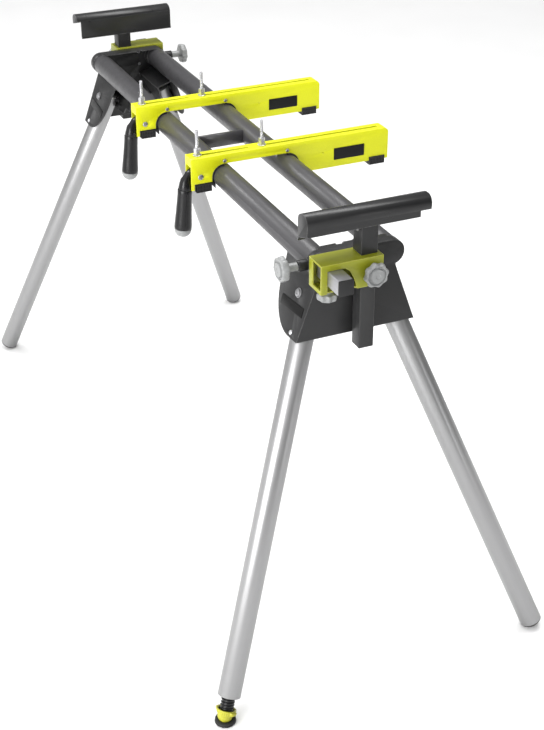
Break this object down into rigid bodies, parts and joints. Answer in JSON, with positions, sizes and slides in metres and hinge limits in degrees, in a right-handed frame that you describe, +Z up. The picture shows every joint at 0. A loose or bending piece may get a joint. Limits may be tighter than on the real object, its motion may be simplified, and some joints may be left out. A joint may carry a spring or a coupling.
{
  "type": "mitre saw stand",
  "caption": "Folding saw stand: round rails on splayed folding legs, extending work supports at the ends and sliding quick-clamp saddles that hold the saw.",
  "frame": {"origin": "on the floor, under the middle of the stand", "axes": "+X along the rails towards the end with the levelling foot, +Y towards the long side of the saddles, +Z up"},
  "size_m": [1.4071, 0.6198, 0.815],
  "materials": {
    "rail_paint": "satin powder coat",
    "bracket_paint": "satin powder coat",
    "bright_metal": "satin",
    "black_plastic": "moulded",
    "rubber": "matte",
    "lime_plastic": "moulded",
    "lime_paint": "satin powder coat",
    "grey_plastic": "moulded"
  },
  "bodies": {
    "frame": {"rail_left": "rail_paint", "rail_right": "rail_paint", "cross_tube": "rail_paint", "end_bracket_near": "bracket_paint", "end_bracket_far": "bracket_paint", "leg_cheeks_near": "bracket_paint", "leg_cheeks_far": "bracket_paint", "bracket_bolts": "bright_metal", "bracket_badges": "black_plastic", "tube_guides": "black_plastic", "knob_bosses": "bracket_paint"},
    "leg_near_left": {"leg_tube_near_left": "bright_metal", "leg_caps_near_left": "black_plastic"},
    "levelling_foot": {"levelling_screw": "black_plastic", "levelling_pad": "rubber"},
    "levelling_collar": {"levelling_collar": "lime_plastic"},
    "lock_button_near_left": {"lock_button_near_left": "bright_metal"},
    "leg_near_right": {"leg_tube_near_right": "bright_metal", "leg_caps_near_right": "black_plastic"},
    "lock_button_near_right": {"lock_button_near_right": "bright_metal"},
    "extension_near": {"extension_tube_near": "bright_metal", "extension_plastics_near": "black_plastic", "carrier_near": "lime_paint"},
    "rail_knob_near": {"rail_knob_near": "grey_plastic"},
    "carrier_knob_near": {"carrier_knob_near": "grey_plastic"},
    "post_knob_near": {"post_knob_near": "grey_plastic"},
    "post_near": {"post_near": "bracket_paint", "support_bar_near": "bracket_paint"},
    "saddle_near": {"saddle_near": "lime_paint", "saddle_pads_near": "black_plastic", "saddle_badge_near": "black_plastic", "saddle_screws_near": "bright_metal"},
    "clamp_stud_near_a": {"clamp_stud_near_a": "bright_metal"},
    "clamp_stud_near_b": {"clamp_stud_near_b": "bright_metal"},
    "lever_near": {"lever_near": "black_plastic", "lever_cap_near": "grey_plastic"},
    "clamp_jaw_near": {"clamp_jaw_near": "black_plastic"},
    "leg_far_left": {"leg_tube_far_left": "bright_metal", "leg_caps_far_left": "black_plastic"},
    "lock_button_far_left": {"lock_button_far_left": "bright_metal"},
    "leg_far_right": {"leg_tube_far_right": "bright_metal", "leg_caps_far_right": "black_plastic"},
    "lock_button_far_right": {"lock_button_far_right": "bright_metal"},
    "extension_far": {"extension_tube_far": "bright_metal", "extension_plastics_far": "black_plastic", "carrier_far": "lime_paint"},
    "rail_knob_far": {"rail_knob_far": "grey_plastic"},
    "carrier_knob_far": {"carrier_knob_far": "grey_plastic"},
    "post_knob_far": {"post_knob_far": "grey_plastic"},
    "post_far": {"post_far": "bracket_paint", "support_bar_far": "bracket_paint"},
    "saddle_far": {"saddle_far": "lime_paint", "saddle_pads_far": "black_plastic", "saddle_badge_far": "black_plastic", "saddle_screws_far": "bright_metal"},
    "clamp_stud_far_a": {"clamp_stud_far_a": "bright_metal"},
    "clamp_stud_far_b": {"clamp_stud_far_b": "bright_metal"},
    "lever_far": {"lever_far": "black_plastic", "lever_cap_far": "grey_plastic"},
    "clamp_jaw_far": {"clamp_jaw_far": "black_plastic"}
  },
  "joints": [
    {"name": "leg_fold_near_left", "type": "hinge", "parent": "frame", "child": "leg_near_left", "pos_m": [0.505, -0.0595, 0.6467], "axis": [0, 0.9391, -0.3437], "range_deg": [0, 104.5]},
    {"name": "lock_button_pull_near_left", "type": "slide", "parent": "frame", "child": "lock_button_near_left", "axis": [0, -0.9391, 0.3437], "range_m": [0, 0.002], "stiffness_N_per_m": 300},
    {"name": "leg_fold_near_right", "type": "hinge", "parent": "frame", "child": "leg_near_right", "pos_m": [0.505, 0.0595, 0.6467], "axis": [0, 0.9391, 0.3437], "range_deg": [0, 104.5]},
    {"name": "lock_button_pull_near_right", "type": "slide", "parent": "frame", "child": "lock_button_near_right", "axis": [0, 0.9391, 0.3437], "range_m": [0, 0.002], "stiffness_N_per_m": 300},
    {"name": "leg_fold_far_left", "type": "hinge", "parent": "frame", "child": "leg_far_left", "pos_m": [-0.505, -0.0595, 0.6467], "axis": [0, -0.9391, 0.3437], "range_deg": [0, 95.5]},
    {"name": "lock_button_pull_far_left", "type": "slide", "parent": "frame", "child": "lock_button_far_left", "axis": [0, -0.9391, 0.3437], "range_m": [0, 0.002], "stiffness_N_per_m": 300},
    {"name": "leg_fold_far_right", "type": "hinge", "parent": "frame", "child": "leg_far_right", "pos_m": [-0.505, 0.0595, 0.6467], "axis": [0, -0.9391, -0.3437], "range_deg": [0, 95.5]},
    {"name": "lock_button_pull_far_right", "type": "slide", "parent": "frame", "child": "lock_button_far_right", "axis": [0, 0.9391, 0.3437], "range_m": [0, 0.002], "stiffness_N_per_m": 300},
    {"name": "levelling_collar_turn", "type": "hinge", "parent": "levelling_foot", "child": "levelling_collar", "pos_m": [0.68398, -0.29067, 0.015], "axis": [0.2571, -0.3321, -0.9075], "range_deg": [0, 1441]},
    {"name": "levelling_foot_extend", "type": "slide", "parent": "leg_near_left", "child": "levelling_foot", "axis": [0.2571, -0.3321, -0.9075], "range_m": [0, 0.02]},
    {"name": "extension_slide_near", "type": "slide", "parent": "frame", "child": "extension_near", "axis": [1, 0, 0], "range_m": [0, 0.85]},
    {"name": "rail_knob_turn_near", "type": "hinge", "parent": "frame", "child": "rail_knob_near", "pos_m": [0.53, -0.06, 0.714], "axis": [0, -1, 0], "range_deg": [0, 360]},
    {"name": "carrier_knob_turn_near", "type": "hinge", "parent": "extension_near", "child": "carrier_knob_near", "pos_m": [0.563, -0.06, 0.69], "axis": [0, 0, -1], "range_deg": [0, 360]},
    {"name": "post_knob_turn_near", "type": "hinge", "parent": "extension_near", "child": "post_knob_near", "pos_m": [0.59, 0.003, 0.711], "axis": [1, 0, 0], "range_deg": [0, 360]},
    {"name": "post_slide_near", "type": "slide", "parent": "extension_near", "child": "post_near", "axis": [0, 0, 1], "range_m": [0, 0.1]},
    {"name": "saddle_slide_near", "type": "slide", "parent": "frame", "child": "saddle_near", "axis": [1, 0, 0], "range_m": [-0.1, 0.31]},
    {"name": "clamp_stud_slide_near_a", "type": "slide", "parent": "saddle_near", "child": "clamp_stud_near_a", "axis": [0, 1, 0], "range_m": [0, 0.09]},
    {"name": "clamp_stud_slide_near_b", "type": "slide", "parent": "saddle_near", "child": "clamp_stud_near_b", "axis": [0, 1, 0], "range_m": [0, 0.22]},
    {"name": "lever_open_near", "type": "hinge", "parent": "saddle_near", "child": "lever_near", "pos_m": [0.14, -0.104, 0.719], "axis": [-1, 0, 0], "range_deg": [0, 45]},
    {"name": "clamp_jaw_release_near", "type": "slide", "parent": "saddle_near", "child": "clamp_jaw_near", "axis": [0, -1, 0], "range_m": [0, 0.003]},
    {"name": "extension_slide_far", "type": "slide", "parent": "frame", "child": "extension_far", "axis": [-1, 0, 0], "range_m": [0, 0.85]},
    {"name": "rail_knob_turn_far", "type": "hinge", "parent": "frame", "child": "rail_knob_far", "pos_m": [-0.53, 0.06, 0.714], "axis": [0, 1, 0], "range_deg": [0, 360]},
    {"name": "carrier_knob_turn_far", "type": "hinge", "parent": "extension_far", "child": "carrier_knob_far", "pos_m": [-0.563, 0.06, 0.69], "axis": [0, 0, -1], "range_deg": [0, 360]},
    {"name": "post_knob_turn_far", "type": "hinge", "parent": "extension_far", "child": "post_knob_far", "pos_m": [-0.59, -0.003, 0.711], "axis": [-1, 0, 0], "range_deg": [0, 360]},
    {"name": "post_slide_far", "type": "slide", "parent": "extension_far", "child": "post_far", "axis": [0, 0, 1], "range_m": [0, 0.1]},
    {"name": "saddle_slide_far", "type": "slide", "parent": "frame", "child": "saddle_far", "axis": [1, 0, 0], "range_m": [-0.31, 0.1]},
    {"name": "clamp_stud_slide_far_a", "type": "slide", "parent": "saddle_far", "child": "clamp_stud_far_a", "axis": [0, 1, 0], "range_m": [0, 0.09]},
    {"name": "clamp_stud_slide_far_b", "type": "slide", "parent": "saddle_far", "child": "clamp_stud_far_b", "axis": [0, 1, 0], "range_m": [0, 0.22]},
    {"name": "lever_open_far", "type": "hinge", "parent": "saddle_far", "child": "lever_far", "pos_m": [-0.147, -0.104, 0.719], "axis": [-1, 0, 0], "range_deg": [0, 45]},
    {"name": "clamp_jaw_release_far", "type": "slide", "parent": "saddle_far", "child": "clamp_jaw_far", "axis": [0, -1, 0], "range_m": [0, 0.003]}
  ],
  "couplings": [
    {"joint": "levelling_collar_turn", "follows": "levelling_foot_extend", "rad_per_m": 1256.6},
    {"joint": "clamp_jaw_release_near", "follows": "lever_open_near", "m_per_rad": 0.0038},
    {"joint": "clamp_jaw_release_far", "follows": "lever_open_far", "m_per_rad": 0.0038}
  ]
}
